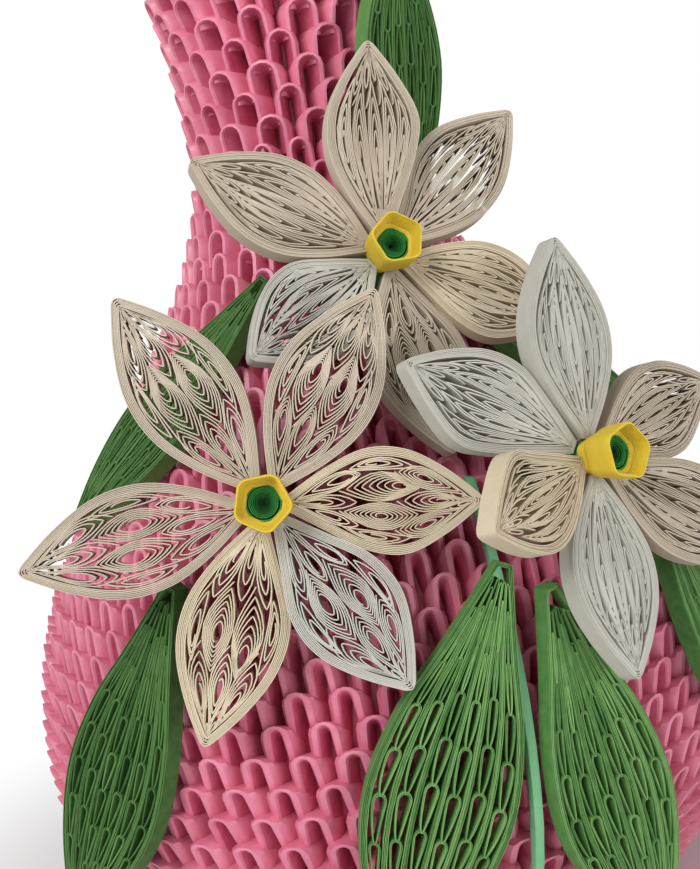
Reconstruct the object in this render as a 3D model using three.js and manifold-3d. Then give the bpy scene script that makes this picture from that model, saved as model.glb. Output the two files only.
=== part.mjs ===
// Vase of folded paper modules, dressed with quilled paper flowers and leaves.
// Millimetres, +Z up, with the foot at z = 0. The flowers face -Y.

import * as THREE from 'three';
import { mergeVertices } from 'three/addons/utils/BufferGeometryUtils.js';
import Module from 'manifold-3d';

const wasm = await Module();
wasm.setup();

// Outline of the vase, over the tips of the modules
const BASE_RADIUS = 84;
const BELLY_RADIUS = 112;
const BELLY_HEIGHT = 60;
const SHOULDER_RISE = 177;
const SHOULDER_FULLNESS = 1.13;
const NECK_RADIUS = 34.5;
const NECK_LENGTH = 45;
const MOUTH_RADIUS = 39;
const NECK_HEIGHT = BELLY_HEIGHT + SHOULDER_RISE;
const VASE_HEIGHT = NECK_HEIGHT + NECK_LENGTH;

// Folded modules: each ring is turned half a pitch against the one below
const RING_RISE = 7.4;
const TIP_RELIEF = 4;
const TIP_LIFT = 1.8;
const MODULE_DEPTH = 12;
const BORE_SIDES = 16;
const BORE_STEP = 32;

// Paper that touches paper keeps this clearance
const SEAT_GAP = 0.3;

// Quilled strips stand on edge, so the strip's width is the thickness of a petal or leaf
const STRIP_WIDTH = 5;
const FLOWER_STANDOFF = 20;
const PETAL_LENGTH = 58;
const PETAL_WIDTH = 24;
const PETAL_ROOT_WIDTH = 3.2;
const PETAL_SWELL = 1;
const PETAL_SIDES = 5;
const LEAF_LENGTH = 100;
const LEAF_WIDTH = 34;
const LEAF_ROOT_WIDTH = 4;
const LEAF_SWELL = 1.25;
const LEAF_SIDES = 5;

// Yellow cup and green coil at a flower's heart
const EYE_RADIUS = 4.1;
const EYE_HOLLOW = 2.2;
const EYE_SIDES = 12;
const CUP_WALL = 1.6;
const CUP_SIDES = 5;
const CUP_HEIGHT = 9.5;
const CUP_DEPTH = 4.5;

// Narrow stem laid down the wall between two leaves
const STEM_WIDTH = 2.4;
const STEM_THICKNESS = 3;
const STEM_AZIMUTH = 15.3;
const STEM_LEAN = 5;
const STEM_RISE = 78;
const STEM_LENGTH = 100;
const STEM_STEPS = 10;
const STEM_TOP = BELLY_HEIGHT + STEM_RISE;

// Open hearts of the coils: place along the blade and across it, as shares of its length and
// half width, and how much of the length each takes
const PETAL_EYES = [[0.32, 0.44], [0.32, -0.44], [0.65, 0.38], [0.65, -0.38]];
const PETAL_EYE_SPAN = 0.29;
const PETAL_EYE_WIDTH = 5;
const LEAF_EYES = [[0.28, 0], [0.58, 0.42], [0.58, -0.42]];
const LEAF_EYE_SPAN = 0.34;
const LEAF_EYE_WIDTH = 3.4;

// Tiers of rings, each with one count of modules, fewer towards the neck
const TIERS = [
  { name: 'foot_rings', top: 0.45 * BELLY_HEIGHT, modules: 56 },
  { name: 'belly_rings', top: BELLY_HEIGHT + 0.38 * SHOULDER_RISE, modules: 56 },
  { name: 'shoulder_rings', top: BELLY_HEIGHT + 0.54 * SHOULDER_RISE, modules: 44 },
  { name: 'upper_shoulder_rings', top: BELLY_HEIGHT + 0.68 * SHOULDER_RISE, modules: 34 },
  { name: 'collar_rings', top: BELLY_HEIGHT + 0.81 * SHOULDER_RISE, modules: 26 },
  { name: 'neck_base_rings', top: BELLY_HEIGHT + 0.95 * SHOULDER_RISE, modules: 20 },
  { name: 'neck_rings', top: VASE_HEIGHT, modules: 16 },
];

// Flowers: place on the wall, the way they face, the turn of the cup, and each petal as its turn
// and lift in degrees and its share of the full length, listed clockwise. Azimuth 0 is the front,
// and grows towards +X. Climb is the share of the shoulder's rise that lies below.
const FLOWERS = [
  {
    name: 'left', azimuth: -12.3, climb: 0.469, stand: 1, facing: 0, tilt: 12, cupTurn: -16,
    petals: [[117, 0, 1.05], [53, 3, 0.98], [-9, 0, 0.88], [-61, 7, 0.95], [-114, 0, 1], [-174, 3, 1.03]],
  },
  {
    name: 'top', azimuth: 12.2, climb: 0.757, stand: 1.2, facing: 18, tilt: 18, cupTurn: 18,
    petals: [[81, 8, 0.98], [36, -7, 1.1], [-34, 8, 0.86], [-87, 0, 0.93], [-154, 0, 0.79], [143, 0, 0.93]],
  },
  {
    name: 'right', azimuth: 29.4, climb: 0.45, stand: 1.15, facing: 32, tilt: 8, cupTurn: 0,
    petals: [[84, 0, 0.93], [9, -9, 1], [-39, 6, 1], [-100, 8, 0.93], [-171, 18, 0.86], [142, -7, 0.91]],
  },
];

// Leaves: root on the wall, swing from straight down towards +X, and shares of the full size
const LEAVES = [
  { name: 'leaf_top', azimuth: 34, climb: 0.802, swing: 173, long: 0.84, wide: 0.82 },
  { name: 'leaf_left', azimuth: -12, climb: 0.729, swing: -44, long: 0.88, wide: 0.76 },
  { name: 'leaf_lower_left', azimuth: -24.5, climb: 0.356, swing: -29, long: 1.02, wide: 0.94 },
  { name: 'leaf_bottom_left', azimuth: 16.6, climb: 0.328, swing: -27, long: 1, wide: 1 },
  { name: 'leaf_bottom_right', azimuth: 19.6, climb: 0.294, swing: 9, long: 0.98, wide: 0.91 },
  { name: 'leaf_right_upper', azimuth: 27, climb: 0.7, swing: 42, long: 0.84, wide: 0.76 },
  { name: 'leaf_right_lower', azimuth: 43, climb: 0.378, swing: 15, long: 0.92, wide: 0.88 },
];

const paper = (color, roughness) => new THREE.MeshStandardMaterial({ color, roughness, metalness: 0 });
const PINK_PAPER = paper(0xdb7598, 0.75);
const IVORY_PAPER = paper(0xd9d0bb, 0.85);
const YELLOW_PAPER = paper(0xefd94e, 0.8);
const EYE_PAPER = paper(0x1f7a3f, 0.8);
const LEAF_PAPER = paper(0x3f8a3f, 0.8);
const STEM_PAPER = paper(0x63a56a, 0.8);

const vase = new THREE.Group();
const radians = THREE.MathUtils.degToRad;

// Radius of the vase over the module tips at a height
function outline(z) {
  if (z < BELLY_HEIGHT) {
    const rise = Math.sin((Math.PI / 2) * (z / BELLY_HEIGHT));
    return BASE_RADIUS + (BELLY_RADIUS - BASE_RADIUS) * rise;
  }
  if (z < NECK_HEIGHT) {
    const climb = ((z - BELLY_HEIGHT) / SHOULDER_RISE) ** SHOULDER_FULLNESS;
    return NECK_RADIUS + ((BELLY_RADIUS - NECK_RADIUS) * (1 + Math.cos(Math.PI * climb))) / 2;
  }
  return NECK_RADIUS + (MOUTH_RADIUS - NECK_RADIUS) * ((z - NECK_HEIGHT) / NECK_LENGTH) ** 2;
}

const wallSlope = (z) => outline(z + 0.5) - outline(z - 0.5);

const shoulderHeight = (climb) => BELLY_HEIGHT + climb * SHOULDER_RISE;

function wallPoint(azimuth, height, standoff = 0) {
  const reach = outline(height) + standoff;
  return new THREE.Vector3(reach * Math.sin(azimuth), -reach * Math.cos(azimuth), height);
}

function wallNormal(azimuth, height) {
  return new THREE.Vector3(Math.sin(azimuth), -Math.cos(azimuth), -wallSlope(height)).normalize();
}

// Distance from a point straight to the surface over the module tips
function wallGap(point) {
  return (Math.hypot(point.x, point.y) - outline(point.z)) / Math.hypot(1, wallSlope(point.z));
}

// Closed three.js geometry as a solid for joining and cutting
function solidOf(geometry) {
  const bare = new THREE.BufferGeometry();
  bare.setAttribute('position', geometry.getAttribute('position'));
  bare.setIndex(geometry.getIndex());
  const merged = mergeVertices(bare, 1e-4);
  const corners = merged.getIndex().array;
  const kept = [];
  for (let i = 0; i < corners.length; i += 3) {
    const [a, b, c] = corners.slice(i, i + 3);
    if (a !== b && b !== c && c !== a) kept.push(a, b, c);
  }
  return new wasm.Manifold(new wasm.Mesh({
    numProp: 3,
    vertProperties: merged.getAttribute('position').array,
    triVerts: new Uint32Array(kept),
  }));
}

function geometryOf(solid) {
  const mesh = solid.getMesh();
  const geometry = new THREE.BufferGeometry();
  geometry.setAttribute('position', new THREE.BufferAttribute(mesh.vertProperties, 3));
  geometry.setIndex(new THREE.BufferAttribute(mesh.triVerts, 1));
  geometry.computeVertexNormals();
  return geometry;
}

function addPiece(parent, name, geometry, material) {
  const piece = new THREE.Mesh(geometry, material);
  piece.name = name;
  parent.add(piece);
  return piece;
}

// Heights of the ring edges between two levels, about one slant step apart
function ringEdges(low, high) {
  const edges = [low];
  while (edges.at(-1) < high - RING_RISE / 2) {
    const z = edges.at(-1);
    edges.push(z + RING_RISE / Math.hypot(1, wallSlope(z)));
  }
  const fit = (high - low) / (edges.at(-1) - low);
  return edges.map((z) => low + (z - low) * fit);
}

// Lathe about Z, from a profile of [radius, height] pairs
function latheAboutZ(profile, sides) {
  const points = profile.map(([radius, height]) => new THREE.Vector2(radius, height));
  return new THREE.LatheGeometry(points, sides).rotateX(Math.PI / 2);
}

// A tier is a lathe whose columns alternate: module tips stand out and up, and the legs that
// tuck behind the tips below stand in and down. Every ring swaps the two.
const isTip = (column, ring) => (column + ring) % 2 === 0;

function tierGeometry(levels, modules) {
  const top = levels.length - 1;
  const rims = levels.map((z) => [outline(z), z]);
  const profile = [[0, levels[0]], ...rims, [0, levels[top]]];
  const columns = 2 * modules;
  const lathe = latheAboutZ(profile, columns);
  const position = lathe.getAttribute('position');
  const at = (column, ring) => column * profile.length + ring + 1;
  for (let column = 0; column <= columns; column += 1) {
    for (let ring = 0; ring <= top; ring += 1) {
      const index = at(column, ring);
      const flatEdge = ring === 0 || ring === top;
      const lift = flatEdge ? 0 : TIP_LIFT * (isTip(column, ring) ? 1 : -1);
      const z = levels[ring] + lift;
      const reach = outline(z) - (isTip(column, ring) ? 0 : TIP_RELIEF);
      const spread = reach / outline(levels[ring]);
      position.setXYZ(index, position.getX(index) * spread, position.getY(index) * spread, z);
    }
  }
  lathe.setIndex(tierFaces(columns, top, at));
  return lathe;
}

// Folds run from leg to leg, so that every tip is a point of its own between four folds
function tierFaces(columns, top, at) {
  const faces = [];
  for (let column = 0; column < columns; column += 1) {
    for (let ring = -1; ring <= top; ring += 1) {
      const a = at(column, ring);
      const b = at(column + 1, ring);
      const c = at(column + 1, ring + 1);
      const d = at(column, ring + 1);
      if (isTip(column, ring)) faces.push(a, b, d, c, d, b);
      else faces.push(a, b, c, a, c, d);
    }
  }
  return faces;
}

// Hollow of the vase between two heights, with a margin past both
function boreGeometry(bottom, top) {
  const margin = 1;
  const steps = Math.ceil((top - bottom) / BORE_STEP);
  const profile = [[0, bottom - margin]];
  for (let step = 0; step <= steps; step += 1) {
    const z = bottom + ((top - bottom) * step) / steps;
    const past = step === 0 ? -margin : step === steps ? margin : 0;
    profile.push([outline(z) - MODULE_DEPTH, z + past]);
  }
  profile.push([0, top + margin]);
  return latheAboutZ(profile, BORE_SIDES);
}

// Vase wall, tier by tier
const tierSolids = [];
const levels = [...ringEdges(0, BELLY_HEIGHT), ...ringEdges(BELLY_HEIGHT, VASE_HEIGHT).slice(1)];
let firstRing = 0;
for (const { name, top, modules } of TIERS) {
  const isMouth = top === VASE_HEIGHT;
  const lastRing = isMouth ? levels.length - 1 : levels.findIndex((z) => z > top - RING_RISE / 2);
  const edges = levels.slice(firstRing, lastRing + 1);
  if (firstRing > 0) edges[0] += SEAT_GAP / 2;
  if (!isMouth) edges[edges.length - 1] -= SEAT_GAP / 2;
  const bore = solidOf(boreGeometry(edges[0], edges.at(-1)));
  const tier = solidOf(tierGeometry(edges, modules)).subtract(bore);
  tierSolids.push(tier);
  addPiece(vase, name, geometryOf(tier), PINK_PAPER);
  firstRing = lastRing;
}

// Half width of a blade along its length, from its narrow root to its point
function bladeHalfWidth(share, width, rootWidth, swell) {
  return (rootWidth / 2) * (1 - share) + (width / 2) * Math.sin(Math.PI * share ** swell);
}

// Blade in the XY plane with its root at x = root, with open hearts where its coils are. The half
// width may differ between its two edges, -1 and 1.
function bladeShape(root, length, sides, halfWidth, eyes, eyeSpan, eyeWidth) {
  const eyeLength = eyeSpan * (length - root);
  const reach = (share) => root + (length - root) * share;
  const lower = [];
  const upper = [];
  for (let side = 0; side < sides; side += 1) {
    const share = side / sides;
    lower.push(new THREE.Vector2(reach(share), -halfWidth(share, -1)));
    upper.unshift(new THREE.Vector2(reach(share), halfWidth(share, 1)));
  }
  const shape = new THREE.Shape([...lower, new THREE.Vector2(length, 0), ...upper]);
  for (const [along, across] of eyes) {
    const x = reach(along);
    const y = across * halfWidth(along, Math.sign(across));
    shape.holes.push(new THREE.Path([
      new THREE.Vector2(x - eyeLength / 2, y),
      new THREE.Vector2(x, y + eyeWidth / 2),
      new THREE.Vector2(x + eyeLength / 2, y),
      new THREE.Vector2(x, y - eyeWidth / 2),
    ]));
  }
  return shape;
}

function stripGeometry(shape) {
  return new THREE.ExtrudeGeometry(shape, { depth: STRIP_WIDTH, bevelEnabled: false });
}

// Points on the back of a blade, where it would first touch the wall
function bladeBack(root, length, halfWidth) {
  const points = [];
  for (let share = 0; share <= 1; share += 0.05) {
    const x = root + (length - root) * share;
    for (const edge of [-1, 0, 1]) {
      points.push(new THREE.Vector3(x, edge * halfWidth(share, edge), 0));
    }
  }
  return points;
}

const smallestGap = (points, matrix) =>
  Math.min(...points.map((point) => wallGap(point.clone().applyMatrix4(matrix))));

// Petal: lifted from the flower's plane as asked, and further where it would meet the wall
const petalOverhang = (lift) => STRIP_WIDTH * Math.max(0, Math.sin(lift));

function petalRoot(lift) {
  return (EYE_RADIUS + SEAT_GAP + petalOverhang(lift)) / Math.cos(lift);
}

// Half width of a petal, squeezed by the plane halfway to the next petal on that edge
function petalHalfWidth(length, lift, spreads) {
  const root = petalRoot(lift);
  return (share, edge) => {
    const blade = bladeHalfWidth(share, PETAL_WIDTH, PETAL_ROOT_WIDTH, PETAL_SWELL);
    const spread = edge < 0 ? spreads.below : spreads.above;
    const reach = (root + (length - root) * share) * Math.cos(lift) - petalOverhang(lift);
    return Math.min(blade, reach * Math.tan(spread) - SEAT_GAP / 2 / Math.cos(spread));
  };
}

// Half the angles from a petal to the petals beside it
function petalSpreads(petals, index) {
  const turnOf = (place) => petals[(place + petals.length) % petals.length][0];
  const half = (from, to) => radians(THREE.MathUtils.euclideanModulo(to - from, 360)) / 2;
  return {
    below: half(turnOf(index + 1), turnOf(index)),
    above: half(turnOf(index), turnOf(index - 1)),
  };
}

function petalMatrix(turn, lift) {
  return new THREE.Matrix4().makeRotationFromEuler(new THREE.Euler(0, -lift, turn, 'ZYX'));
}

function restingLift(flower, turn, length, lift, spreads) {
  let rested = lift;
  const touches = () => {
    const back = bladeBack(petalRoot(rested), length, petalHalfWidth(length, rested, spreads));
    const matrix = flower.matrix.clone().multiply(petalMatrix(turn, rested));
    return smallestGap(back, matrix) < SEAT_GAP;
  };
  while (touches()) rested += radians(0.5);
  return rested;
}

// How far a piece can be pressed in between the module tips before it meets them
function pressDepth(geometry, inward, reach) {
  const solid = solidOf(geometry);
  const meets = (depth) => {
    const pressed = solid.translate(...inward.clone().multiplyScalar(depth));
    return tierSolids.some((tier) => !pressed.intersect(tier).isEmpty());
  };
  let clear = 0;
  let blocked = reach;
  while (blocked - clear > SEAT_GAP / 20) {
    const middle = (clear + blocked) / 2;
    if (meets(middle)) blocked = middle;
    else clear = middle;
  }
  return clear;
}

// Green coil: a tight roll with a hollow front, carried back until it rests on the modules
function eyeGeometry(flower, front) {
  const inward = new THREE.Vector3(0, 0, -1).transformDirection(flower.matrix);
  let reach = 0;
  const along = () => flower.position.clone().addScaledVector(inward, reach);
  while (wallGap(along()) > -TIP_RELIEF) reach += SEAT_GAP;
  const disc = [[0, -SEAT_GAP], [EYE_RADIUS, -SEAT_GAP], [EYE_RADIUS, 0], [0, 0]];
  const heel = latheAboutZ(disc, EYE_SIDES).applyMatrix4(flower.matrix);
  const back = -pressDepth(heel, inward, reach);
  const heart = front - EYE_HOLLOW;
  const roll = [
    [0, back], [EYE_RADIUS, back], [EYE_RADIUS, front], [EYE_RADIUS / 2, heart], [0, heart],
  ];
  return geometryOf(solidOf(latheAboutZ(roll, EYE_SIDES)));
}

// Pentagonal cup: a folded strip around the coil
function cupGeometry() {
  const inner = (EYE_RADIUS + SEAT_GAP) / Math.cos(Math.PI / CUP_SIDES);
  const outer = inner + CUP_WALL / Math.cos(Math.PI / CUP_SIDES);
  const corner = (radius, side) => {
    const angle = (2 * Math.PI * side) / CUP_SIDES;
    return new THREE.Vector2(radius * Math.cos(angle), radius * Math.sin(angle));
  };
  const ring = (radius) => Array.from({ length: CUP_SIDES }, (_, side) => corner(radius, side));
  const shape = new THREE.Shape(ring(outer));
  shape.holes.push(new THREE.Path(ring(inner)));
  const cup = new THREE.ExtrudeGeometry(shape, { depth: CUP_HEIGHT, bevelEnabled: false });
  return { cup, outer };
}

for (const spec of FLOWERS) {
  const flower = new THREE.Group();
  const standoff = spec.stand * FLOWER_STANDOFF;
  flower.position.copy(wallPoint(radians(spec.azimuth), shoulderHeight(spec.climb), standoff));
  flower.rotation.set(Math.PI / 2 - radians(spec.tilt), 0, radians(spec.facing), 'ZXY');
  flower.updateMatrix();
  vase.add(flower);
  let steepest = 0;
  spec.petals.forEach(([turn, lift, long], index) => {
    const length = long * PETAL_LENGTH;
    const spreads = petalSpreads(spec.petals, index);
    const rested = restingLift(flower, radians(turn), length, radians(lift), spreads);
    steepest = Math.max(steepest, rested);
    const shape = bladeShape(
      petalRoot(rested), length, PETAL_SIDES, petalHalfWidth(length, rested, spreads),
      PETAL_EYES, PETAL_EYE_SPAN, PETAL_EYE_WIDTH,
    );
    const name = `petal_${spec.name}_${index + 1}`;
    const petal = addPiece(flower, name, stripGeometry(shape), IVORY_PAPER);
    petal.applyMatrix4(petalMatrix(radians(turn), rested));
  });
  const { cup, outer } = cupGeometry();
  const seat = (STRIP_WIDTH + outer * Math.sin(steepest)) / Math.cos(steepest) + SEAT_GAP;
  cup.rotateZ(radians(spec.cupTurn)).translate(0, 0, seat);
  addPiece(flower, `cup_${spec.name}`, cup, YELLOW_PAPER);
  const front = seat + CUP_HEIGHT - CUP_DEPTH;
  addPiece(flower, `eye_${spec.name}`, eyeGeometry(flower, front), EYE_PAPER);
}

// Leaf: its flat back faces the wall at the leaf's middle and rests on the module tips
function leafMatrix({ azimuth, climb, swing }, length, halfWidth) {
  const steps = 20;
  const stride = length / 2 / steps;
  let around = radians(azimuth);
  let z = shoulderHeight(climb);
  const root = wallPoint(around, z);
  for (let step = 0; step < steps; step += 1) {
    z -= (stride * Math.cos(radians(swing))) / Math.hypot(1, wallSlope(z));
    around += (stride * Math.sin(radians(swing))) / outline(z);
  }
  const normal = wallNormal(around, z);
  const middle = wallPoint(around, z);
  const along = middle.clone().sub(root).projectOnPlane(normal).normalize();
  const across = new THREE.Vector3().crossVectors(normal, along);
  const start = middle.clone().addScaledVector(along, -length / 2);
  const back = bladeBack(0, length, halfWidth);
  const matrix = new THREE.Matrix4();
  for (let pass = 0; pass < 12; pass += 1) {
    matrix.makeBasis(along, across, normal).setPosition(start);
    start.addScaledVector(normal, SEAT_GAP - smallestGap(back, matrix));
  }
  return matrix.makeBasis(along, across, normal).setPosition(start);
}

for (const leaf of LEAVES) {
  const length = leaf.long * LEAF_LENGTH;
  const width = leaf.wide * LEAF_WIDTH;
  const halfWidth = (share) => bladeHalfWidth(share, width, LEAF_ROOT_WIDTH, LEAF_SWELL);
  const shape = bladeShape(
    0, length, LEAF_SIDES, halfWidth, LEAF_EYES, LEAF_EYE_SPAN, LEAF_EYE_WIDTH,
  );
  const matrix = leafMatrix(leaf, length, halfWidth);
  const blade = stripGeometry(shape).applyMatrix4(matrix);
  const inward = new THREE.Vector3(0, 0, -1).transformDirection(matrix);
  const depth = pressDepth(blade, inward, TIP_RELIEF + STRIP_WIDTH) - SEAT_GAP;
  blade.translate(...inward.multiplyScalar(depth));
  addPiece(vase, leaf.name, blade, LEAF_PAPER);
}

// Stem: a narrow strip that follows the wall's outline down from behind the flowers
function stemGeometry() {
  const inner = [];
  const outer = [];
  for (let step = 0; step <= STEM_STEPS; step += 1) {
    const z = STEM_TOP - (STEM_LENGTH * step) / STEM_STEPS;
    inner.push(new THREE.Vector2(outline(z) + SEAT_GAP, z));
    outer.unshift(new THREE.Vector2(outline(z) + SEAT_GAP + STEM_THICKNESS, z));
  }
  const shape = new THREE.Shape([...inner, ...outer]);
  const strip = new THREE.ExtrudeGeometry(shape, { depth: STEM_WIDTH, bevelEnabled: false });
  const middle = STEM_TOP - STEM_LENGTH / 2;
  strip.translate(0, -middle, -STEM_WIDTH / 2);
  strip.rotateX(Math.PI / 2).rotateX(-radians(STEM_LEAN));
  strip.rotateZ(radians(STEM_AZIMUTH) - Math.PI / 2);
  return strip.translate(0, 0, middle);
}

addPiece(vase, 'stem', stemGeometry(), STEM_PAPER);

// The origin lies under the middle of the whole vase with its flowers
const middle = new THREE.Box3().setFromObject(vase, true).getCenter(new THREE.Vector3());
vase.position.set(-middle.x, -middle.y, 0);

export default vase;
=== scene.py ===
import math
import random

import bmesh
import bpy
from mathutils import Matrix, Vector


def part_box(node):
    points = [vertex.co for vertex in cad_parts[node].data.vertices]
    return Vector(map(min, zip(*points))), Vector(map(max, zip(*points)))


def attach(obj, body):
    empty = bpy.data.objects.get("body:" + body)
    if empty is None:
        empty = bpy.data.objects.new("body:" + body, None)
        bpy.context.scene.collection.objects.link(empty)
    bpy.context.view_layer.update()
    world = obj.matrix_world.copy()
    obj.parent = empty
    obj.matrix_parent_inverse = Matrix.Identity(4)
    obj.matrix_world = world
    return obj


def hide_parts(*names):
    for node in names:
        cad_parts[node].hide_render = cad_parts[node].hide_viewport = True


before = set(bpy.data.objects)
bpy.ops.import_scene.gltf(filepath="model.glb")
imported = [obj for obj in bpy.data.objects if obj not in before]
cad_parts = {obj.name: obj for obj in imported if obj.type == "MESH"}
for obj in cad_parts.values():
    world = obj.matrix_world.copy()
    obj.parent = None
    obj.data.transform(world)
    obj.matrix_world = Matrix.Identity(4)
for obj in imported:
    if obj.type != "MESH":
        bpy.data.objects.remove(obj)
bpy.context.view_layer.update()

MM = 0.001
scene = bpy.context.scene
scene.view_settings.view_transform = "Standard"
chance = random.Random(11)

# Outline of the vase over the tips of its modules, as in the solids
BASE_RADIUS = 84 * MM
BELLY_RADIUS = 112 * MM
BELLY_HEIGHT = 60 * MM
SHOULDER_RISE = 177 * MM
SHOULDER_FULLNESS = 1.13
NECK_RADIUS = 34.5 * MM
NECK_LENGTH = 45 * MM
MOUTH_RADIUS = 39 * MM
NECK_HEIGHT = BELLY_HEIGHT + SHOULDER_RISE
VASE_HEIGHT = NECK_HEIGHT + NECK_LENGTH
RING_RISE = 7.4 * MM
TIP_LIFT = 1.8 * MM

# Folded modules: the crest falls to the back by a share of the legs' lean, the paper in a slot is painted
# deeper in tone as shade, and each module sits a little askew, in degrees
MODULE_DEPTH = 11 * MM
MODULE_PITCH = 12.2 * MM
MODULE_HEIGHT = 1.5 * RING_RISE
ARCH_STEPS = 6
CREST_RAKE = 0.4
SLOT_PAINTED_SHADE = -0.5
SIDEWAYS_TILT = 1.6
TWIST = 2.0
# Legs that meet the floor are fitted to reach past it by this factor, and cut level on it
FLOOR_REACH = 1.1

# Tails of the modules, packed to a wall behind the rings between these depths, its tone painted shade
TAILS_DEPTH = 10 * MM
BORE_DEPTH = 12 * MM
TAILS_STEPS = 6
TAILS_PAINTED_SHADE = 0.1

# Strips of quilling paper, standing on edge
STRIP_WIDTH = 5 * MM
SHEET = 0.28 * MM
LEAF_SHEET = 0.22 * MM
RIM_WRAP = 0.36 * MM
COIL_WRAP = 0.37 * MM
EDGE_SCATTER = 0.3 * MM
# Room that a rim leaves at a blade's tip, and the least half width of anything in a blade
TIP_ROOM = 0.15 * MM
LEAST_WIDTH = 0.05 * MM
# Strips differ in tone, from the deepest of a petal or a leaf to the palest
DEEPEST_PETAL = 0.25
DEEPEST_LEAF = 0.15
PALEST = 0.95
# Tone of a piece that is all one sheet
EVEN_TONE = 0.6

# Foot of the vase's axis in the frame
neck_low, neck_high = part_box("neck_rings")
AXIS = Vector(((neck_low.x + neck_high.x) / 2, (neck_low.y + neck_high.y) / 2, 0))


def outline(z):
    """Radius of the vase over the module tips at a height."""
    if z < BELLY_HEIGHT:
        return BASE_RADIUS + (BELLY_RADIUS - BASE_RADIUS) * math.sin(math.pi / 2 * z / BELLY_HEIGHT)
    if z < NECK_HEIGHT:
        climb = ((z - BELLY_HEIGHT) / SHOULDER_RISE) ** SHOULDER_FULLNESS
        return NECK_RADIUS + (BELLY_RADIUS - NECK_RADIUS) * (1 + math.cos(math.pi * climb)) / 2
    return NECK_RADIUS + (MOUTH_RADIUS - NECK_RADIUS) * ((z - NECK_HEIGHT) / NECK_LENGTH) ** 2


def wall_slope(z):
    """How fast the radius grows with height."""
    return (outline(z + 0.5 * MM) - outline(z - 0.5 * MM)) / MM


def ring_edges(low, high):
    """Heights of the ring edges between two levels, about one slant step apart."""
    edges = [low]
    while edges[-1] < high - RING_RISE / 2:
        edges.append(edges[-1] + RING_RISE / math.hypot(1, wall_slope(edges[-1])))
    fit = (high - low) / (edges[-1] - low)
    return [low + (z - low) * fit for z in edges]


def linear(hex_colour):
    """An sRGB hex colour as linear RGBA."""
    channels = [int(hex_colour[i:i + 2], 16) / 255 for i in (1, 3, 5)]
    return [c / 12.92 if c <= 0.04045 else ((c + 0.055) / 1.055) ** 2.4 for c in channels] + [1]


def node(tree, kind, settings=None, inputs=None):
    """Adds one node, sets its own settings, and fills or links its sockets."""
    made = tree.nodes.new(kind)
    for name, value in (settings or {}).items():
        setattr(made, name, value)
    for name, value in (inputs or {}).items():
        socket = made.inputs[name]
        if isinstance(value, bpy.types.NodeSocket):
            tree.links.new(value, socket)
        else:
            socket.default_value = value
    return made


def paper(name, pale, deep, roughness, sheen, fibre_mm, relief):
    """Dyed paper: matt, mottled by its fibres, each strip or fold a little paler or deeper, and deeper
    where its tone paints shade.
    """
    material = bpy.data.materials.new(name)
    material.use_nodes = True
    tree = material.node_tree
    tree.nodes.clear()
    place = node(tree, "ShaderNodeTexCoord").outputs["Object"]
    tone = node(tree, "ShaderNodeAttribute", {"attribute_name": "tone"}).outputs["Fac"]
    mottle = node(tree, "ShaderNodeTexNoise", inputs={
        "Vector": place, "Scale": 1 / (6 * fibre_mm * MM), "Detail": 4.0, "Roughness": 0.6})
    fibre = node(tree, "ShaderNodeTexNoise", inputs={
        "Vector": place, "Scale": 1 / (fibre_mm * MM), "Detail": 3.0, "Roughness": 0.7})
    spread = node(tree, "ShaderNodeMapRange", inputs={
        "Value": mottle.outputs["Fac"], "From Min": 0.3, "From Max": 0.7, "To Min": -0.16, "To Max": 0.16})
    blend = node(tree, "ShaderNodeMath", {"operation": "ADD", "use_clamp": True}, {
        0: tone, 1: spread.outputs["Result"]})
    colour = node(tree, "ShaderNodeMix", {"data_type": "RGBA"}, {
        "Factor": blend.outputs[0], 6: linear(deep), 7: linear(pale)})
    bump = node(tree, "ShaderNodeBump", inputs={
        "Height": fibre.outputs["Fac"], "Strength": relief, "Distance": 0.1 * MM})
    skin = node(tree, "ShaderNodeBsdfPrincipled", inputs={
        "Base Color": colour.outputs[2], "Roughness": roughness, "Normal": bump.outputs["Normal"],
        "Specular IOR Level": sheen})
    node(tree, "ShaderNodeOutputMaterial", inputs={"Surface": skin.outputs["BSDF"]})
    return material


# Copier paper dyed through and folded hard: smooth enough for a faint sheen on the folds
PINK_PAPER = paper("pink_origami_paper", "#e2859d", "#b73a5d", 0.42, 0.7, 0.5, 0.12)
# Uncoated quilling strips seen on their cut edges: chalky, with no sheen
IVORY_PAPER = paper("ivory_quilling_paper", "#c4b7a5", "#aea08b", 0.75, 0.3, 0.4, 0.1)
CREAM_PAPER = paper("cream_quilling_paper", "#d4c6ac", "#c0b194", 0.75, 0.3, 0.4, 0.1)
WHITE_PAPER = paper("grey_white_quilling_paper", "#c4c1b6", "#aeaba0", 0.75, 0.3, 0.4, 0.1)
# Bright quilling strips, a little smoother than the ivory ones
YELLOW_PAPER = paper("yellow_quilling_paper", "#ddc343", "#c6a31a", 0.65, 0.3, 0.4, 0.1)
COIL_PAPER = paper("deep_green_quilling_paper", "#3d9a49", "#0b3814", 0.6, 0.1, 0.4, 0.1)
# Painted shade: a darker copy of the leaf paper, for the leaves that lie in shadow
PAINTED_SHADE_LEAF_PAPER = paper("painted_shade_leaf_green_quilling_paper", "#618c4a", "#2b5522", 0.65, 0.3, 0.4, 0.1)
LEAF_PAPER = paper("leaf_green_quilling_paper", "#7aa660", "#386b2e", 0.65, 0.3, 0.4, 0.1)
STEM_PAPER = paper("pale_green_quilling_paper", "#82bd90", "#62a273", 0.65, 0.3, 0.4, 0.1)


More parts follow.
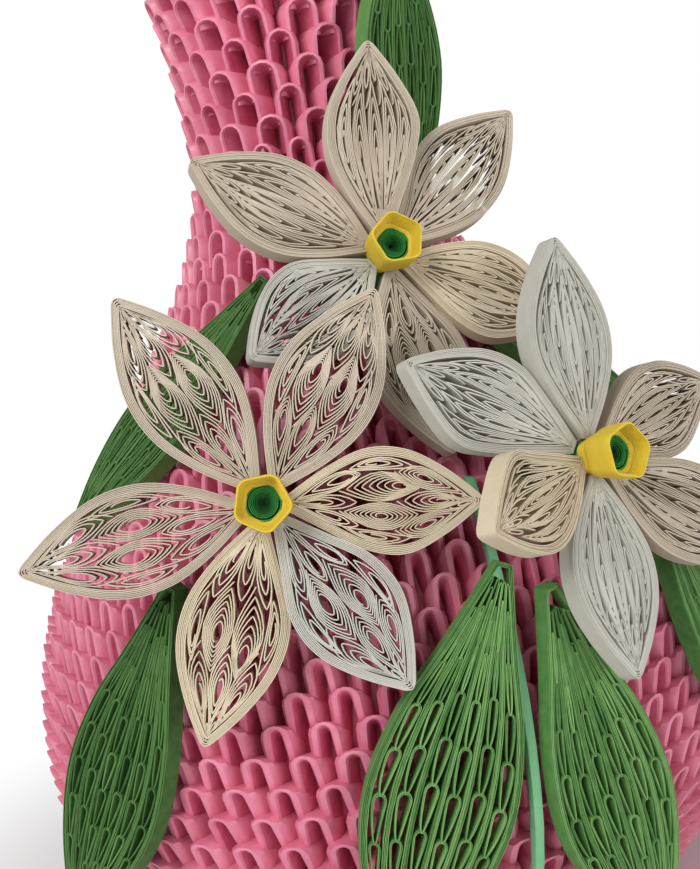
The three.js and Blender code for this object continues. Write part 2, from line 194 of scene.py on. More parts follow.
def finish_piece(bm, name, material, slot, *nodes, soft=40, thickness=0):
    """Turns a bmesh into a piece of the object that stands for CAD nodes.

    Folds under the soft angle are shaded as round, and a sheet is given its thickness.
    """
    for edge in bm.edges:
        edge.smooth = len(edge.link_faces) == 2 and edge.calc_face_angle(0) < math.radians(soft)
    for face in bm.faces:
        face.smooth = True
    mesh = bpy.data.meshes.new(name)
    bm.to_mesh(mesh)
    bm.free()
    mesh.materials.append(material)
    piece = bpy.data.objects.new(name, mesh)
    scene.collection.objects.link(piece)
    if thickness:
        sheet = piece.modifiers.new("sheet", "SOLIDIFY")
        sheet.thickness = thickness
        sheet.offset = 0
    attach(piece, "root")
    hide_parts(*nodes)


def draw_out(bm, cap, way):
    """Extrudes a cap along a way, takes the old cap out and gives the new one."""
    made = bmesh.ops.extrude_face_region(bm, geom=[cap])["geom"]
    bmesh.ops.delete(bm, geom=[cap], context="FACES_ONLY")
    fresh = next(item for item in made if isinstance(item, bmesh.types.BMFace))
    bmesh.ops.translate(bm, vec=way, verts=fresh.verts)
    return fresh


def module_mesh(half_gap, wall, crest_press, lean, splay):
    """One folded module: two legs of doubled paper and the arch between them.

    X runs around the vase, Y outwards and Z up the wall, with the front of the crest at the origin.
    The slot between the legs narrows to the back.  The legs lean in, and the crest falls to the back.
    Gives the mesh, and for each face its painted shade: how much deeper in tone it is drawn for lying in
    the slot.
    """
    bm = bmesh.new()
    outer = half_gap + wall
    # Plan of a leg, from the back of the slot round its front edge to the outer side
    plan = [
        (0.1 * half_gap, -MODULE_DEPTH),
        (0.25 * half_gap, -6 * MM),
        (half_gap, -0.6 * MM),
        (half_gap + 0.15 * wall, 0),
        (outer - 0.45 * wall, -0.2 * MM),
        (outer - 0.12 * wall, -1.7 * MM),
        (outer, -MODULE_DEPTH),
    ]
    foot = bm.faces.new([bm.verts.new((-x, y, 0)) for x, y in plan])
    arch = bmesh.ops.spin(bm, geom=[foot], cent=(0, 0, 0), axis=(0, 1, 0), angle=math.pi, steps=ARCH_STEPS)
    feet = [foot] + [item for item in arch["geom_last"] if isinstance(item, bmesh.types.BMFace)]
    crest = outer * (1 - crest_press)
    for cap in feet:
        draw_out(bm, cap, (0, 0, crest - MODULE_HEIGHT))
    bmesh.ops.recalc_face_normals(bm, faces=bm.faces)

    def in_slot(face):
        return all(math.hypot(vert.co.x, max(vert.co.z, 0)) < 1.01 * half_gap for vert in face.verts)

    # Painted shade: the faces deep in the slot are drawn deeper in tone, for the shade that falls there
    painted_shades = [SLOT_PAINTED_SHADE if in_slot(face) else 0 for face in bm.faces]
    for vert in bm.verts:
        co = vert.co
        if co.z > 0:
            away = (math.hypot(co.x, co.z) - half_gap) / wall
            co.z *= 1 - crest_press * min(max(away, 0), 1)
        else:
            side = math.copysign(outer, co.x)
            co.x = side + (co.x - side) * (1 + splay * co.z / MODULE_HEIGHT)
        co.z -= crest
        co.y, co.z = co.y + lean * co.z, co.z + CREST_RAKE * lean * co.y
    mesh = bpy.data.meshes.new("module")
    bm.to_mesh(mesh)
    bm.free()
    return mesh, painted_shades


def place_module(bm, tone_layer, module, painted_shades, matrix, tone):
    """Adds one module to a tier, and stands it on the floor where it would go through."""
    first_vert = len(bm.verts)
    first_face = len(bm.faces)
    bm.from_mesh(module)
    bm.verts.ensure_lookup_table()
    bm.faces.ensure_lookup_table()
    bmesh.ops.transform(bm, matrix=matrix, verts=bm.verts[first_vert:])
    for vert in bm.verts[first_vert:]:
        vert.co.z = max(vert.co.z, 0)
    # Painted shade: faces in the slot take a deeper tone than the rest of the module
    for face, shade in zip(bm.faces[first_face:], painted_shades):
        face[tone_layer] = tone + shade


def add_tails(bm, tone_layer, bottom, top, modules):
    """Tails of the modules, packed one in another to a wall behind the rings, painted deep in tone as
    shade.
    """
    heights = [bottom + (top - bottom) * step / TAILS_STEPS for step in range(TAILS_STEPS + 1)]
    front = [(outline(z) - TAILS_DEPTH, z) for z in heights]
    back = [(outline(z) - BORE_DEPTH, z) for z in reversed(heights)]
    verts = [bm.verts.new((radius, 0, z)) for radius, z in front + back]
    edges = [bm.edges.new(pair) for pair in zip(verts, verts[1:] + verts[:1])]
    first_face = len(bm.faces)
    first_vert = len(bm.verts) - len(verts)
    bmesh.ops.spin(bm, geom=verts + edges, cent=(0, 0, 0), axis=(0, 0, 1), angle=2 * math.pi,
                   steps=modules, use_merge=True)
    bm.verts.ensure_lookup_table()
    bm.faces.ensure_lookup_table()
    bmesh.ops.recalc_face_normals(bm, faces=bm.faces[first_face:])
    bmesh.ops.translate(bm, vec=AXIS, verts=bm.verts[first_vert:])
    # Painted shade: the wall takes a deep tone, for the dark hollow behind the slots
    for face in bm.faces[first_face:]:
        face[tone_layer] = TAILS_PAINTED_SHADE


# Heights of the ring edges, from the floor to the mouth
LEVELS = ring_edges(0, BELLY_HEIGHT) + ring_edges(BELLY_HEIGHT, VASE_HEIGHT)[1:]

# Tiers of rings: node, height of the top edge, modules in a ring, half the slot and the wall of a
# fold, how flat its crest is pressed, and how far its legs lean in and spread
TIERS = [
    ("foot_rings", 0.45 * BELLY_HEIGHT, 56, 1.5 * MM, 3.7 * MM, 0.45, 0.4, 0.25),
    ("belly_rings", BELLY_HEIGHT + 0.38 * SHOULDER_RISE, 56, 1.5 * MM, 3.7 * MM, 0.45, 0.4, 0.25),
    ("shoulder_rings", BELLY_HEIGHT + 0.54 * SHOULDER_RISE, 44, 1.6 * MM, 3.7 * MM, 0.4, 0.36, 0.2),
    ("upper_shoulder_rings", BELLY_HEIGHT + 0.68 * SHOULDER_RISE, 34, 1.8 * MM, 3.6 * MM, 0.35, 0.3, 0.15),
    ("collar_rings", BELLY_HEIGHT + 0.81 * SHOULDER_RISE, 26, 2.1 * MM, 3.1 * MM, 0.3, 0.24, 0.1),
    ("neck_base_rings", BELLY_HEIGHT + 0.95 * SHOULDER_RISE, 20, 2.4 * MM, 2.4 * MM, 0.2, 0.18, 0.05),
    ("neck_rings", VASE_HEIGHT, 16, 2.6 * MM, 1.9 * MM, 0.1, 0.14, 0),
]


def build_tiers():
    """Rings of modules, each ring turned half a pitch against the one below."""
    first_ring = 0
    for name, top, modules, half_gap, wall, crest_press, lean, splay in TIERS:
        last_ring = len(LEVELS) - 1
        if top < VASE_HEIGHT:
            last_ring = next(i for i, z in enumerate(LEVELS) if z > top - RING_RISE / 2)
        module, painted_shades = module_mesh(half_gap, wall, crest_press, lean, splay)
        bm = bmesh.new()
        tone_layer = bm.faces.layers.float.new("tone")
        add_tails(bm, tone_layer, LEVELS[first_ring], LEVELS[last_ring], modules)
        for ring in range(first_ring + 1, last_ring + 1):
            crest = min(LEVELS[ring] + TIP_LIFT, VASE_HEIGHT)
            slant = math.atan(wall_slope(crest))
            drop = MODULE_HEIGHT * (math.cos(slant) - lean * math.sin(slant))
            to_floor = FLOOR_REACH * crest / drop
            fit = to_floor if ring == 1 else min(1, to_floor)
            squeeze = 2 * math.pi * outline(crest) / modules / MODULE_PITCH
            for column in range(modules):
                turn = math.pi * (2 * column + (ring - first_ring) % 2) / modules
                matrix = (
                    Matrix.Translation(AXIS)
                    @ Matrix.Rotation(turn, 4, "Z")
                    @ Matrix.Translation((0, -outline(crest), crest))
                    @ Matrix.Rotation(math.pi, 4, "Z")
                    @ Matrix.Rotation(-slant, 4, "X")
                    @ Matrix.Rotation(math.radians(chance.gauss(0, SIDEWAYS_TILT)), 4, "Y")
                    @ Matrix.Rotation(math.radians(chance.gauss(0, TWIST)), 4, "Z")
                    @ Matrix.Diagonal((squeeze * chance.uniform(0.9, 1.08), 1, fit, 1))
                )
                place_module(bm, tone_layer, module, painted_shades, matrix, chance.uniform(0.65, 0.95))
        bpy.data.meshes.remove(module)
        finish_piece(bm, "modules_" + name, PINK_PAPER, "pink_paper", name)
        first_ring = last_ring


class Blade:
    """A flat petal or leaf as its node lies: its axes, its length and the half widths of its edges.

    X runs from the root to the tip and Z out of the front.
    """

    SIDES = 5
    ROUND_FROM = 0.95

    def __init__(self, name, heart=None):
        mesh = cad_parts[name].data
        corners = {tuple(round(c, 7) for c in vert.co) for vert in mesh.vertices}
        points = [Vector(corner) for corner in sorted(corners)]
        whole = sum(face.area for face in mesh.polygons)
        centre = sum((face.area * face.center for face in mesh.polygons), Vector()) / whole

        def flat_area(way):
            return sum(face.area for face in mesh.polygons if abs(face.normal.dot(way)) > 0.999)

        # The front looks away from the vase's axis
        out = max((face.normal for face in mesh.polygons), key=flat_area).normalized()
        if out.dot(centre - AXIS) < out.z * centre.z:
            out = -out

        def farthest(start):
            """Middle of the corners that lie farthest from a point."""
            reach = max((point - start).length for point in points)
            ends = [point for point in points if (point - start).length > reach - 0.02 * MM]
            return sum(ends, Vector()) / len(ends)

        # A petal runs out from its flower's heart, a leaf from its end that is farther from its middle
        if heart:
            way = heart.to_3x3().col[2]
            pivot = heart.translation + way * ((centre - heart.translation).dot(out) / way.dot(out))
        else:
            pivot = farthest(centre)
        tip = farthest(pivot)
        along = (tip - pivot).normalized()
        across = out.cross(along).normalized()
        start = min((point - pivot).dot(along) for point in points)
        base = pivot + along * start - out * (STRIP_WIDTH / 2)
        axes = Matrix((along, across, out)).transposed().to_4x4()
        self.matrix = Matrix.Translation(base) @ axes
        self.length = (tip - pivot).dot(along) - start
        self.widths = {}
        for edge in (-1, 1):
            self.widths[edge] = [
                max(edge * (point - base).dot(across) for point in points
                    if abs((point - base).dot(along) - self.length * side / self.SIDES) < 0.1 * MM)
                for side in range(self.SIDES)] + [0]

    def half(self, share, across, inset=0):
        """Half width on one edge, a smooth curve through the corners of the node's outline."""
        widths = self.widths[-1 if across < 0 else 1]
        place = min(max(share, 0), 0.9999) * self.SIDES
        side = int(place)
        t = place - side
        a, b, c, d = [2 * widths[0] - widths[1], *widths, -widths[-2]][side:side + 4]
        curve = b + t / 2 * (c - a + t * (2 * a - 5 * b + 4 * c - d + t * (3 * (b - c) + d - a)))
        if share > self.ROUND_FROM:
            past = min(2 * (share - self.ROUND_FROM) / (1 - self.ROUND_FROM), 1)
            curve = self.half(self.ROUND_FROM, across) * math.sqrt(1 - past)
        return max(curve - inset, LEAST_WIDTH)

    def point(self, share, across, inset=0):
        """Place on the blade, from shares of its length and half width."""
        return self.length * share, across * self.half(share, across, inset)


def strip(bm, tone_layer, path, low, high, tone):
    """A strip of paper on edge along a path, which may rise and fall.  Its ends join where they meet."""
    joined = math.dist(path[0], path[-1]) < 0.001 * MM
    if joined:
        path = path[:-1]
    verts = [bm.verts.new((x, y, low + sum(rise))) for x, y, *rise in path]
    edges = [bm.edges.new(pair) for pair in zip(verts, verts[1:])]
    if joined:
        edges.append(bm.edges.new((verts[-1], verts[0])))
    made = bmesh.ops.extrude_edge_only(bm, edges=edges)["geom"]
    top = [item for item in made if isinstance(item, bmesh.types.BMVert)]
    bmesh.ops.translate(bm, vec=(0, 0, high - low), verts=top)
    for item in made:
        if isinstance(item, bmesh.types.BMFace):
            item[tone_layer] = tone


def lay_strip(bm, tone_layer, path, deepest):
    """A strip of a petal or leaf, its edges a little uneven and its tone drawn by chance."""
    low = chance.uniform(0, EDGE_SCATTER)
    high = STRIP_WIDTH - chance.uniform(0, EDGE_SCATTER)
    strip(bm, tone_layer, path, low, high, chance.uniform(deepest, PALEST))


def rim_path(blade, inset):
    """A closed wrap around a blade, from its root along one edge, round its tip and back."""
    steps = 40
    aside = 1.1 * inset
    shares = [max(math.sin(math.pi / 2 * step / steps), inset / blade.length) for step in range(steps)]
    shares = [share for share in shares if blade.half(share, 1) > aside + TIP_ROOM]
    upper = [blade.point(share, 1, aside) for share in shares]
    lower = [blade.point(share, -1, aside) for share in reversed(shares)]
    tip = (blade.length * shares[-1] + TIP_ROOM, 0)
    return [(inset, 0), *upper, tip, *lower, (inset, 0)]


def coil_path(blade, inset, spot, long, wide, openness):
    """A coil pinched at both ends, wound from its outside in to a heart that may lie nearer one end.

    Its place and size are shares of the blade, so it bends with the blade's edges.  An open coil has
    a wide heart and loose turns, a tight one a slit.
    """
    steps = 20
    along, across = spot
    heart = chance.uniform(0.06, 0.16) + 0.25 * openness
    drift = chance.uniform(-0.3, 0.7)
    # A more open coil has looser turns and a rounder heart
    loose = 1 + 0.15 * openness
    radius = wide * blade.half(along, across, inset)
    turns = max(radius * (1 - heart) / COIL_WRAP / loose, 1.5)
    path = []
    for step in range(int(turns * steps) + 1):
        angle = 2 * math.pi * step / steps + math.pi
        shrink = (1 - heart) * step / steps / turns
        pinch = math.sin(angle) * abs(math.sin(angle)) ** (1 - shrink)
        share = along + long * (loose * drift * shrink + (1 - loose * shrink) * math.cos(angle))
        share = min(share, blade.ROUND_FROM)
        path.append(blade.point(share, across + wide * (1 - shrink) * pinch, inset))
    return path


# Coils of a petal in staggered rows, as shares: the row's place along the petal, the coils' half length,
# and the place across and half width of each.  Tight petals have the long rows, more open ones the short
TIGHT_BELOW = 0.3
SHORT_ROWS = [
    (0.19, 0.2, ((-0.66, 0.34), (0, 0.34), (0.66, 0.34))),
    (0.47, 0.2, ((-0.85, 0.15), (-0.34, 0.34), (0.34, 0.34), (0.85, 0.15))),
    (0.73, 0.19, ((-0.66, 0.34), (0, 0.34), (0.66, 0.34))),
    (0.89, 0.08, ((-0.35, 0.35), (0.35, 0.35))),
]
LONG_ROWS = [
    (0.095, 0.06, ((-0.6, 0.17), (-0.2, 0.17), (0.2, 0.17), (0.6, 0.17))),
    (0.42, 0.4, ((-0.8, 0.19), (-0.4, 0.2), (0, 0.2), (0.4, 0.2), (0.8, 0.19))),
    (0.81, 0.16, ((-0.6, 0.19), (-0.2, 0.19), (0.2, 0.19), (0.6, 0.19))),
]
PETAL_WRAPS = 6


def build_petal(name, heart, material, openness):
    """A petal: coils pinched to points, packed inside a rim of several wraps."""
    blade = Blade(name, heart)
    bm = bmesh.new()
    tone_layer = bm.faces.layers.float.new("tone")
    for wrap in range(PETAL_WRAPS):
        lay_strip(bm, tone_layer, rim_path(blade, SHEET / 2 + wrap * RIM_WRAP), DEEPEST_PETAL)
    inset = PETAL_WRAPS * RIM_WRAP + SHEET / 2
    rows = LONG_ROWS if openness < TIGHT_BELOW else SHORT_ROWS
    for along, long, coils in rows:
        for across, wide in coils:
            spot = (along + chance.uniform(-0.015, 0.015), across)
            path = coil_path(blade, inset, spot, long, wide, openness)
            lay_strip(bm, tone_layer, path, DEEPEST_PETAL)
    bmesh.ops.transform(bm, matrix=blade.matrix, verts=bm.verts)
    finish_piece(bm, "quilled_" + name, material, "ivory_paper", name, thickness=SHEET)


# Leaves: lanes of long loops side by side, one inside another, with short loops down the middle
LEAF_WRAPS = 3
LEAF_LANES = 6
LEAF_LOOPS = 2
LOOP_WRAP = 0.38 * MM
LOOP_HOLLOW = 0.08 * MM
SHORT_LOOP = 11 * MM
SHORT_WRAPS = 2
# Shares of a leaf's length at which a loop is tried, and how many it has to fit at
LOOP_PLACES = [place / 60 for place in range(2, 58)]
LEAST_PLACES = 12


def loop_path(blade, inset, lane, ends, depth, taper):
    """A loop of a leaf, round at both ends, or tapered from a round end near the root to a point.

    A lane is its middle and half width as shares of the blade's half width, and depth is how far the loop
    lies inside the lane.
    """
    middle, half_lane = lane
    start, end = ends
    steps = 20
    upper = []
    lower = []
    for step in range(steps + 1):
        gone = (1 - math.cos(math.pi * step / steps)) / 2
        share = start + (end - start) * gone
        half = max(half_lane * blade.half(share, 1, inset) - depth, LEAST_WIDTH)
        from_end = gone if taper else min(gone, 1 - gone)
        bend = min(from_end * (end - start) * blade.length / (1.3 * half), 1)
        wide = half * math.sqrt(bend * (2 - bend)) * (1 - gone) ** taper
        centre = middle * blade.half(share, 1, inset)
        upper.append((blade.length * share, centre + wide))
        lower.append((blade.length * share, centre - wide))
    # Both sides end in the same point
    return upper + lower[-2::-1]


def lane_paths(blade, inset, lane):
    """Loops of one lane of a leaf: long ones inside each other, then short doubled ones down the middle."""
    short = SHORT_LOOP / blade.length
    loops = []
    for loop in range(LEAF_LOOPS):
        depth = SHEET / 2 + loop * LOOP_WRAP
        room = depth + LOOP_HOLLOW * (1 + loop)
        fits = [place for place in LOOP_PLACES if blade.half(place, 1, inset) / LEAF_LANES > room]
        if len(fits) > LEAST_PLACES:
            start = fits[0] + chance.uniform(0, 0.4) * short
            end = fits[-1] - chance.uniform(0, 0.4) * short
            yield loop_path(blade, inset, lane, (start, end), depth, 0)
            loops.append((start, end))
    first, last = loops[0]
    start = first + chance.uniform(0.3, 1) * short
    while start + short < last:
        around = sum(near < start and start + short < far for near, far in loops)
        for wrap in range(SHORT_WRAPS):
            depth = SHEET / 2 + (around + wrap) * LOOP_WRAP
            ends = (start + wrap * LOOP_WRAP / blade.length, start + 1.05 * short)
            yield loop_path(blade, inset, lane, ends, depth, 0.5)
        start += short


def build_leaf(name, material):
    """A leaf: lanes of loops side by side inside a rim of a few wraps."""
    blade = Blade(name)
    bm = bmesh.new()
    tone_layer = bm.faces.layers.float.new("tone")
    for wrap in range(LEAF_WRAPS):
        lay_strip(bm, tone_layer, rim_path(blade, SHEET / 2 + wrap * RIM_WRAP), DEEPEST_LEAF)
    for index in range(LEAF_LANES):
        lane = ((2 * index + 1) / LEAF_LANES - 1, 1 / LEAF_LANES)
        # The chance draws of a loop and of its strip alternate, so each path is laid as it comes
        for path in lane_paths(blade, LEAF_WRAPS * RIM_WRAP, lane):
            lay_strip(bm, tone_layer, path, DEEPEST_LEAF)
    bmesh.ops.transform(bm, matrix=blade.matrix, verts=bm.verts)
    finish_piece(bm, "quilled_" + name, material, "leaf_paper", name, thickness=LEAF_SHEET)


# Flowers: turn and upward tilt of each one's face and turn of its cup, in degrees, then the paper and
# openness of its petals in their order
FLOWERS = {
    "left": (0, 12, -16, [(IVORY_PAPER, 0.6), (IVORY_PAPER, 0.5), (CREAM_PAPER, 0.35), (WHITE_PAPER, 0.6),
                          (CREAM_PAPER, 0.6), (IVORY_PAPER, 1)]),
    "top": (18, 18, 18, [(IVORY_PAPER, 0), (IVORY_PAPER, 0), (CREAM_PAPER, 0), (IVORY_PAPER, 0.5),
                         (WHITE_PAPER, 0.1), (IVORY_PAPER, 0.1)]),
    "right": (32, 8, 0, [(WHITE_PAPER, 0), (IVORY_PAPER, 0.1), (IVORY_PAPER, 0), (WHITE_PAPER, 0),
                         (CREAM_PAPER, 0.1), (WHITE_PAPER, 0.1)]),
}
EYE_RADIUS = 4.1 * MM
EYE_HOLLOW = 2.6 * MM
CUP_APOTHEM = 6.0 * MM
CUP_SIDES = 5
CUP_HEIGHT = 9.5 * MM
CUP_DEPTH = 4.5 * MM
CUP_TAIL = 3 * MM
CUP_CORNER = 1.8 * MM
CUP_WRAPS = 8
EYE_TURNS = 8
EYE_PITCH = 0.4 * MM
EYE_STRIP = 4 * MM
EYE_STEPS = 28
# One turn of the eye stands proud of the others: how far, its place inwards and its spread, as shares
EYE_LIP = 0.35 * MM
EYE_LIP_PLACE = 0.36
EYE_LIP_SPREAD = 0.07
STEM_EDGE = 0.35 * MM


def flower_frame(name, facing, tilt):
    """Axes of a flower, Z out of its cup, with the origin in the middle of the cup."""
    points = [tuple(round(c, 6) for c in vert.co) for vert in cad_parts["cup_" + name].data.vertices]
    corners = [Vector(point) for point in sorted(set(points))]
    middle = sum(corners, Vector()) / len(corners)
    return (Matrix.Translation(middle) @ Matrix.Rotation(math.radians(facing), 4, "Z")
            @ Matrix.Rotation(math.pi / 2 - math.radians(tilt), 4, "X"))


def build_cup(name, matrix, turn):
    """Yellow cup: a roll pushed up to a bowl, its lip pinched to five soft corners."""
    bm = bmesh.new()
    tone_layer = bm.faces.layers.float.new("tone")
    bmesh.ops.create_circle(bm, cap_ends=True, segments=CUP_SIDES,
                            radius=CUP_APOTHEM / math.cos(math.pi / CUP_SIDES))
    bmesh.ops.bevel(bm, geom=bm.verts[:], offset=CUP_CORNER, offset_type="OFFSET", segments=5, profile=0.5,
                    material=-1, affect="VERTICES")
    bmesh.ops.rotate(bm, cent=(0, 0, 0), matrix=Matrix.Rotation(math.radians(turn) - math.pi / 2, 3, "Z"),
                     verts=bm.verts)
    lip = CUP_HEIGHT / 2
    size, height = 0.7, -lip - CUP_TAIL
    bmesh.ops.scale(bm, vec=(size, size, 1), verts=bm.verts)
    bmesh.ops.translate(bm, vec=(0, 0, height), verts=bm.verts)
    cap = next(iter(bm.faces))
    # Shares of the full width and heights, up the outside and then down the steps inside
    shape = [
        (0.72, -lip),
        (0.84, -lip + 0.4 * MM),
        (0.92, -0.7 * lip),
        (0.97, -0.2 * lip),
        (1, 0.6 * lip),
        (1, 0.93 * lip),
        (0.97, lip),
    ]
    for wrap in range(CUP_WRAPS):
        inner = 0.92 - 0.17 * wrap / (CUP_WRAPS - 1)
        shape.append((inner, lip - CUP_DEPTH * wrap / CUP_WRAPS))
        shape.append((inner - 0.005, lip - CUP_DEPTH * (wrap + 1) / CUP_WRAPS))
    for share, z in shape:
        cap = draw_out(bm, cap, (0, 0, z - height))
        bmesh.ops.scale(bm, vec=(share / size, share / size, 1), verts=cap.verts)
        size, height = share, z
    for vert in cap.verts:
        vert.co.xy = vert.co.xy.normalized() * (EYE_RADIUS + 0.1 * MM)
    draw_out(bm, cap, (0, 0, -EYE_HOLLOW - 1.5 * MM))
    bmesh.ops.holes_fill(bm, edges=[edge for edge in bm.edges if edge.is_boundary])
    bmesh.ops.recalc_face_normals(bm, faces=bm.faces)
    for face in bm.faces:
        face[tone_layer] = EVEN_TONE
    bmesh.ops.transform(bm, matrix=matrix, verts=bm.verts)
    finish_piece(bm, "folded_cup_" + name, YELLOW_PAPER, "yellow_paper", "cup_" + name, soft=50)


def build_eye(name, matrix):
    """Green coil: a tight roll whose middle is pushed in, carried back to the modules."""
    bm = bmesh.new()
    tone_layer = bm.faces.layers.float.new("tone")
    out = matrix.to_3x3().col[2]
    points = [vert.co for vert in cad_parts["eye_" + name].data.vertices]
    back = min((point - matrix.translation).dot(out) for point in points)
    front = CUP_HEIGHT / 2 - CUP_DEPTH
    outer = EYE_RADIUS - SHEET / 2

    def ring(radius, angle):
        return radius * math.cos(angle), radius * math.sin(angle)

    angles = [2 * math.pi * step / EYE_STEPS for step in range(EYE_STEPS + 1)]
    strip(bm, tone_layer, [ring(outer, angle) for angle in angles], back, front, EVEN_TONE)
    path = []
    for step in range(EYE_TURNS * EYE_STEPS):
        radius = outer - EYE_PITCH * (1 + step / EYE_STEPS)
        inward = 1 - radius / outer
        lip = EYE_LIP * math.exp(-((inward - EYE_LIP_PLACE) / EYE_LIP_SPREAD) ** 2)
        path.append((*ring(radius, angles[step % EYE_STEPS]), lip - EYE_HOLLOW * inward ** 1.6))
    strip(bm, tone_layer, path, front - EYE_STRIP, front, EVEN_TONE)
    # Painted shade: the tone deepens to the pushed-in middle
    for face in bm.faces:
        face[tone_layer] = max(1.2 * face.calc_center_median().xy.length / EYE_RADIUS - 0.3, 0)
    bmesh.ops.transform(bm, matrix=matrix, verts=bm.verts)
    finish_piece(bm, "coil_eye_" + name, COIL_PAPER, "coil_paper", "eye_" + name, thickness=SHEET)


def build_stem():
    """A strip of paper folded to a narrow stem, on the wall between two leaves."""
    bm = bmesh.new()
    bm.from_mesh(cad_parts["stem"].data)
    bmesh.ops.remove_doubles(bm, verts=bm.verts, dist=0.001 * MM)
    tone_layer = bm.faces.layers.float.new("tone")
    bmesh.ops.bevel(bm, geom=[edge for edge in bm.edges if edge.calc_face_angle(0) > 1],
                    offset=STEM_EDGE, offset_type="OFFSET", segments=2, profile=0.5, material=-1,
                    affect="EDGES")
    for face in bm.faces:
        face[tone_layer] = EVEN_TONE
    finish_piece(bm, "paper_stem", STEM_PAPER, "stem_paper", "stem")


# Paper of each leaf, by its node: the darker paper is painted shade on the leaves in shadow
LEAVES = {
    "leaf_top": PAINTED_SHADE_LEAF_PAPER,
    "leaf_left": PAINTED_SHADE_LEAF_PAPER,
    "leaf_lower_left": PAINTED_SHADE_LEAF_PAPER,
    "leaf_bottom_left": LEAF_PAPER,
    "leaf_bottom_right": LEAF_PAPER,
    "leaf_right_upper": PAINTED_SHADE_LEAF_PAPER,
    "leaf_right_lower": LEAF_PAPER,
}

build_tiers()
for flower, (facing, tilt, cup_turn, petals) in FLOWERS.items():
    heart = flower_frame(flower, facing, tilt)
    for index, (petal_paper, openness) in enumerate(petals):
        build_petal(f"petal_{flower}_{index + 1}", heart, petal_paper, openness)
    build_cup(flower, heart, cup_turn)
    build_eye(flower, heart)
for leaf, leaf_paper in LEAVES.items():
    build_leaf(leaf, leaf_paper)
build_stem()

# Stage: the floor takes shadows near the vase and fades to white between two distances
FLOOR_SIZE = 3
SHADOW_FROM = 0.11
SHADOW_TO = 0.24
WORLD_LIGHT = 0.33

# The photograph's view: the camera's place from the foot of the vase's axis, and the photograph in pixels
CAMERA_PLACE = Vector((0, -365 * MM, 193 * MM))
CAMERA_PITCH = math.radians(-8)
CAMERA_ROLL = math.radians(10)
SENSOR_HEIGHT = 36
FOCAL_PIXELS = 1150
PHOTO_HEIGHT_PIXELS = 869


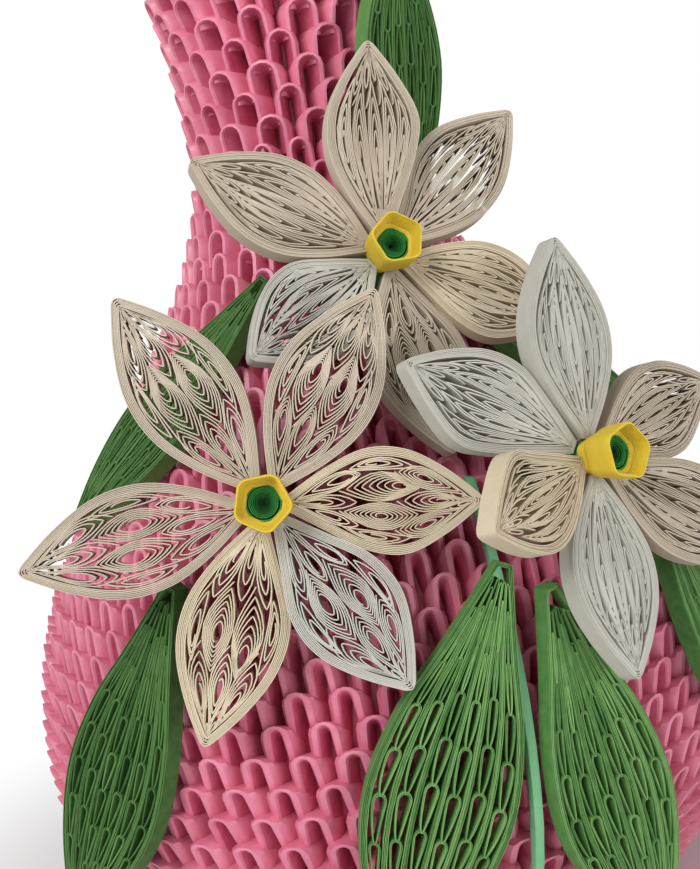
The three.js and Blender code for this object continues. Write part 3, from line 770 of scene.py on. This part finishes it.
def build_stage():
    """A plain pale floor that fades to a white backdrop, and a world that is soft as light."""
    bm = bmesh.new()
    bmesh.ops.create_grid(bm, x_segments=1, y_segments=1, size=FLOOR_SIZE)
    mesh = bpy.data.meshes.new("floor")
    bm.to_mesh(mesh)
    bm.free()
    material = bpy.data.materials.new("white_floor")
    material.use_nodes = True
    tree = material.node_tree
    tree.nodes.clear()
    rays = node(tree, "ShaderNodeLightPath")
    place = node(tree, "ShaderNodeTexCoord").outputs["Object"]
    away = node(tree, "ShaderNodeVectorMath", {"operation": "LENGTH"}, {0: place})
    fade = node(tree, "ShaderNodeMapRange", {"interpolation_type": "SMOOTHSTEP"}, {
        "Value": away.outputs["Value"], "From Min": SHADOW_FROM, "From Max": SHADOW_TO})
    seen = node(tree, "ShaderNodeMath", {"operation": "MULTIPLY"}, {
        0: rays.outputs["Is Camera Ray"], 1: fade.outputs["Result"]})
    matt = node(tree, "ShaderNodeBsdfDiffuse", inputs={"Color": linear("#f7f7f7")})
    white = node(tree, "ShaderNodeEmission", inputs={"Color": (1, 1, 1, 1), "Strength": 1.0})
    mix = node(tree, "ShaderNodeMixShader", inputs={
        0: seen.outputs[0], 1: matt.outputs[0], 2: white.outputs[0]})
    node(tree, "ShaderNodeOutputMaterial", inputs={"Surface": mix.outputs[0]})
    mesh.materials.append(material)
    floor = bpy.data.objects.new("floor", mesh)
    scene.collection.objects.link(floor)

    world = bpy.data.worlds.new("studio")
    scene.world = world
    world.use_nodes = True
    tree = world.node_tree
    tree.nodes.clear()
    rays = node(tree, "ShaderNodeLightPath")
    seen = node(tree, "ShaderNodeMath", {"operation": "MAXIMUM"}, {
        0: rays.outputs["Is Camera Ray"], 1: rays.outputs["Is Glossy Ray"]})
    seen = node(tree, "ShaderNodeMath", {"operation": "MAXIMUM"}, {
        0: seen.outputs[0], 1: rays.outputs["Is Transmission Ray"]})
    light = node(tree, "ShaderNodeBackground", inputs={"Color": (1, 1, 1, 1), "Strength": WORLD_LIGHT})
    white = node(tree, "ShaderNodeBackground", inputs={"Color": (1, 1, 1, 1), "Strength": 1.0})
    mix = node(tree, "ShaderNodeMixShader", inputs={
        0: seen.outputs[0], 1: light.outputs[0], 2: white.outputs[0]})
    node(tree, "ShaderNodeOutputWorld", inputs={"Surface": mix.outputs[0]})


def soft_box(name, place, aim, size, power):
    """A square lamp that looks at a point."""
    lamp = bpy.data.lights.new(name, "AREA")
    lamp.shape = "SQUARE"
    lamp.size = size
    lamp.energy = power
    holder = bpy.data.objects.new(name, lamp)
    turn = (aim - place).to_track_quat("-Z", "Y").to_matrix().to_4x4()
    holder.matrix_world = Matrix.Translation(place) @ turn
    scene.collection.objects.link(holder)


def build_camera():
    """The photograph's view: a little above the belly, rolled so that the neck leans left."""
    camera = bpy.data.cameras.new("view")
    camera.sensor_fit = "VERTICAL"
    camera.sensor_height = SENSOR_HEIGHT
    camera.lens = FOCAL_PIXELS * SENSOR_HEIGHT / PHOTO_HEIGHT_PIXELS
    camera.clip_start = 0.01
    camera.clip_end = 20
    holder = bpy.data.objects.new("view", camera)
    ahead = Vector((0, math.cos(CAMERA_PITCH), math.sin(CAMERA_PITCH)))
    up = Vector((0, -math.sin(CAMERA_PITCH), math.cos(CAMERA_PITCH)))
    right = Vector((1, 0, 0))
    leaned_right = right * math.cos(CAMERA_ROLL) - up * math.sin(CAMERA_ROLL)
    leaned_up = up * math.cos(CAMERA_ROLL) + right * math.sin(CAMERA_ROLL)
    axes = Matrix((leaned_right, leaned_up, -ahead)).transposed().to_4x4()
    holder.matrix_world = Matrix.Translation(AXIS + CAMERA_PLACE) @ axes
    scene.collection.objects.link(holder)
    scene.camera = holder


build_stage()
aim = AXIS + Vector((0, 0, 0.14))
soft_box("key", Vector((-0.6, -0.95, 1.0)), aim, 0.7, 14)
soft_box("fill", Vector((0.85, -0.85, 0.15)), aim, 0.9, 8)
build_camera()
